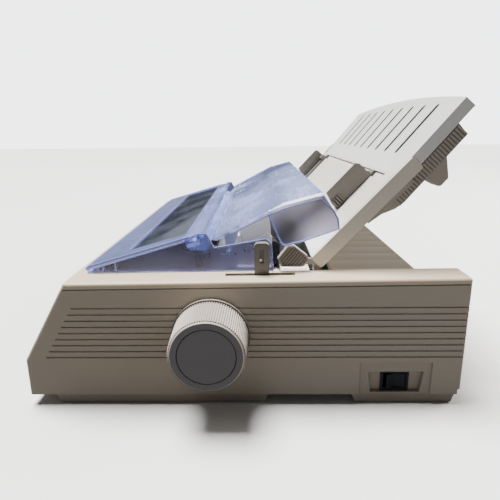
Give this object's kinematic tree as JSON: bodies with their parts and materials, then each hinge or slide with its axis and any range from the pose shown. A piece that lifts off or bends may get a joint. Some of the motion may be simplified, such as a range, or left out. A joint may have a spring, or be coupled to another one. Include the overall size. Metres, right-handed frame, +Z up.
{
  "type": "dot matrix printer",
  "caption": "Desktop dot matrix printer with a ribbed platen knob, tinted hinged covers and a raised sheet guide with sliding edge guides.",
  "frame": {"origin": "on the desk under the middle of the case", "axes": "+X towards the knob side, -Y the front with the control panel, +Z up"},
  "size_m": [0.4566, 0.353, 0.245],
  "materials": {
    "case_beige": "fine moulded texture, slightly aged beige",
    "guide_ivory": "smooth moulded ivory",
    "cover_tint": "clear plastic with a blue-violet smoke tint",
    "grey_plastic": "moulded grey",
    "black_plastic": "moulded black",
    "gear_plastic": "natural white gear plastic",
    "black_rubber": "matt black rubber",
    "plated_steel": "zinc plated sheet and bright rod",
    "dark_metal": "black motor and head casings",
    "inked_fabric": "woven ribbon, black ink",
    "board_green": "green board",
    "light_pipe": "translucent green"
  },
  "bodies": {
    "case": {"lower_case": "case_beige", "upper_case": "case_beige", "rubber_feet": "black_rubber", "case_screws": "plated_steel", "chassis_pan": "plated_steel", "left_frame": "plated_steel", "right_frame": "plated_steel", "platen_bushes": "gear_plastic", "carriage_rod": "plated_steel", "tractor_rail": "plated_steel", "paper_chute": "plated_steel", "feed_motor": "dark_metal", "carriage_motor": "dark_metal", "carriage_belt": "black_rubber", "ribbon_cartridge": "black_plastic", "ribbon": "inked_fabric", "cover_frame": "cover_tint", "paper_separator": "guide_ivory", "sheet_guide": "guide_ivory", "guide_support": "guide_ivory", "guide_tabs": "grey_plastic", "tractor_cover": "case_beige", "switch_bezel": "black_plastic", "control_panel": "case_beige", "status_lights": "light_pipe", "main_board": "board_green", "transformer": "plated_steel", "parallel_port": "black_plastic", "ac_inlet": "black_plastic"},
    "platen": {"platen_roller": "black_rubber", "platen_shaft": "plated_steel", "platen_gear": "gear_plastic", "platen_knob": "case_beige", "knob_cap": "case_beige"},
    "front_idler": {"front_idler_gear": "gear_plastic"},
    "rear_idler": {"rear_idler_gear": "gear_plastic"},
    "pinion": {"feed_pinion": "gear_plastic"},
    "tractor_drive": {"tractor_shaft": "gear_plastic"},
    "pressure": {"pressure_rollers": "black_rubber"},
    "left_tractor_body": {"left_tractor": "black_plastic"},
    "right_tractor_body": {"right_tractor": "black_plastic"},
    "left_pin_wheel": {"left_sprocket": "black_plastic"},
    "right_pin_wheel": {"right_sprocket": "black_plastic"},
    "left_flap": {"left_tractor_flap": "black_plastic"},
    "right_flap": {"right_tractor_flap": "black_plastic"},
    "carriage_body": {"carriage": "black_plastic", "print_head": "dark_metal"},
    "drive_pulley": {"motor_pulley": "black_plastic"},
    "return_pulley": {"idler_pulley": "black_plastic"},
    "ribbon_winder": {"ribbon_knob": "black_plastic"},
    "lid": {"front_lid": "cover_tint"},
    "hood": {"rear_cover": "cover_tint"},
    "lever": {"release_lever": "grey_plastic"},
    "rocker": {"power_rocker": "black_plastic"},
    "pause": {"pause_button": "grey_plastic"},
    "load": {"load_button": "grey_plastic"},
    "feed": {"feed_button": "grey_plastic"},
    "extension": {"guide_extension": "guide_ivory"},
    "near_guide": {"right_edge_guide": "grey_plastic"},
    "far_guide": {"left_edge_guide": "grey_plastic"}
  },
  "joints": [
    {"name": "platen_turn", "type": "hinge", "parent": "case", "child": "platen", "pos_m": [0, -0.0244, 0.0617], "axis": [1, 0, 0], "continuous": true},
    {"name": "front_idler_spin", "type": "hinge", "parent": "case", "child": "front_idler", "pos_m": [0, 0.02192, 0.06575], "axis": [1, 0, 0], "continuous": true},
    {"name": "rear_idler_spin", "type": "hinge", "parent": "case", "child": "rear_idler", "pos_m": [0, 0.06594, 0.07511], "axis": [1, 0, 0], "continuous": true},
    {"name": "pinion_spin", "type": "hinge", "parent": "case", "child": "pinion", "pos_m": [0, 0.02739, 0.03473], "axis": [1, 0, 0], "continuous": true},
    {"name": "tractor_drive_spin", "type": "hinge", "parent": "case", "child": "tractor_drive", "pos_m": [0, 0.10582, 0.06808], "axis": [1, 0, 0], "continuous": true},
    {"name": "pressure_spin", "type": "hinge", "parent": "case", "child": "pressure", "pos_m": [0, -0.0244, 0.0379], "axis": [1, 0, 0], "continuous": true},
    {"name": "left_tractor_slide", "type": "slide", "parent": "case", "child": "left_tractor_body", "axis": [1, 0, 0], "range_m": [-0.02, 0.06]},
    {"name": "right_tractor_slide", "type": "slide", "parent": "case", "child": "right_tractor_body", "axis": [1, 0, 0], "range_m": [-0.06, 0.02]},
    {"name": "left_pin_wheel_spin", "type": "hinge", "parent": "left_tractor_body", "child": "left_pin_wheel", "pos_m": [0, 0.10582, 0.06808], "axis": [1, 0, 0], "continuous": true},
    {"name": "right_pin_wheel_spin", "type": "hinge", "parent": "right_tractor_body", "child": "right_pin_wheel", "pos_m": [0, 0.10582, 0.06808], "axis": [1, 0, 0], "continuous": true},
    {"name": "left_flap_hinge", "type": "hinge", "parent": "left_tractor_body", "child": "left_flap", "pos_m": [-0.1322, 0.10582, 0.07908], "axis": [0, -1, 0], "range_deg": [0, 90]},
    {"name": "right_flap_hinge", "type": "hinge", "parent": "right_tractor_body", "child": "right_flap", "pos_m": [0.1322, 0.10582, 0.07908], "axis": [0, 1, 0], "range_deg": [0, 90]},
    {"name": "carriage_slide", "type": "slide", "parent": "case", "child": "carriage_body", "axis": [1, 0, 0], "range_m": [0, 0.214]},
    {"name": "drive_pulley_spin", "type": "hinge", "parent": "case", "child": "drive_pulley", "pos_m": [-0.14, -0.102, 0.0426], "axis": [0, 1, 0], "continuous": true},
    {"name": "return_pulley_spin", "type": "hinge", "parent": "case", "child": "return_pulley", "pos_m": [0.14, -0.102, 0.0426], "axis": [0, 1, 0], "continuous": true},
    {"name": "ribbon_winder_spin", "type": "hinge", "parent": "case", "child": "ribbon_winder", "pos_m": [0.118, -0.1265, 0.082], "axis": [0, 0, 1], "continuous": true},
    {"name": "front_lid_hinge", "type": "hinge", "parent": "case", "child": "lid", "pos_m": [0, -0.032, 0.1347], "axis": [-1, 0, 0], "range_deg": [0, 110]},
    {"name": "rear_cover_hinge", "type": "hinge", "parent": "case", "child": "hood", "pos_m": [0, -0.0106, 0.124], "axis": [1, 0, 0], "range_deg": [0, 62]},
    {"name": "release_lever_tilt", "type": "hinge", "parent": "case", "child": "lever", "pos_m": [0, 0.0152, 0.04], "axis": [1, 0, 0], "range_deg": [-16, 16]},
    {"name": "power_rocker_tip", "type": "hinge", "parent": "case", "child": "rocker", "pos_m": [0.2, 0.1212, 0.01965], "axis": [0, 0, -1], "range_deg": [0, 12]},
    {"name": "pause_button_press", "type": "slide", "parent": "case", "child": "pause", "axis": [0, 0.8663, -0.4995], "range_m": [0, 0.0015], "stiffness_N_per_m": 200},
    {"name": "load_button_press", "type": "slide", "parent": "case", "child": "load", "axis": [0, 0.8663, -0.4995], "range_m": [0, 0.0015], "stiffness_N_per_m": 200},
    {"name": "feed_button_press", "type": "slide", "parent": "case", "child": "feed", "axis": [0, 0.8663, -0.4995], "range_m": [0, 0.0015], "stiffness_N_per_m": 200},
    {"name": "guide_extension_slide", "type": "slide", "parent": "case", "child": "extension", "axis": [0, 0.6481, 0.7615], "range_m": [-0.05, 0]},
    {"name": "near_edge_guide_slide", "type": "slide", "parent": "case", "child": "near_guide", "axis": [1, 0, 0], "range_m": [-0.105, 0.022]},
    {"name": "far_edge_guide_slide", "type": "slide", "parent": "case", "child": "far_guide", "axis": [1, 0, 0], "range_m": [-0.003, 0.1]}
  ],
  "couplings": [
    {"joint": "front_idler_spin", "follows": "platen_turn", "ratio": -1.0667},
    {"joint": "rear_idler_spin", "follows": "platen_turn", "ratio": 1.0667},
    {"joint": "pinion_spin", "follows": "platen_turn", "ratio": 2.6667},
    {"joint": "tractor_drive_spin", "follows": "platen_turn", "ratio": -1.3333},
    {"joint": "pressure_spin", "follows": "platen_turn", "ratio": -2.9167},
    {"joint": "left_pin_wheel_spin", "follows": "platen_turn", "ratio": -1.3333},
    {"joint": "right_pin_wheel_spin", "follows": "platen_turn", "ratio": -1.3333},
    {"joint": "drive_pulley_spin", "follows": "carriage_slide", "rad_per_m": 116.28},
    {"joint": "return_pulley_spin", "follows": "carriage_slide", "rad_per_m": 116.28}
  ]
}
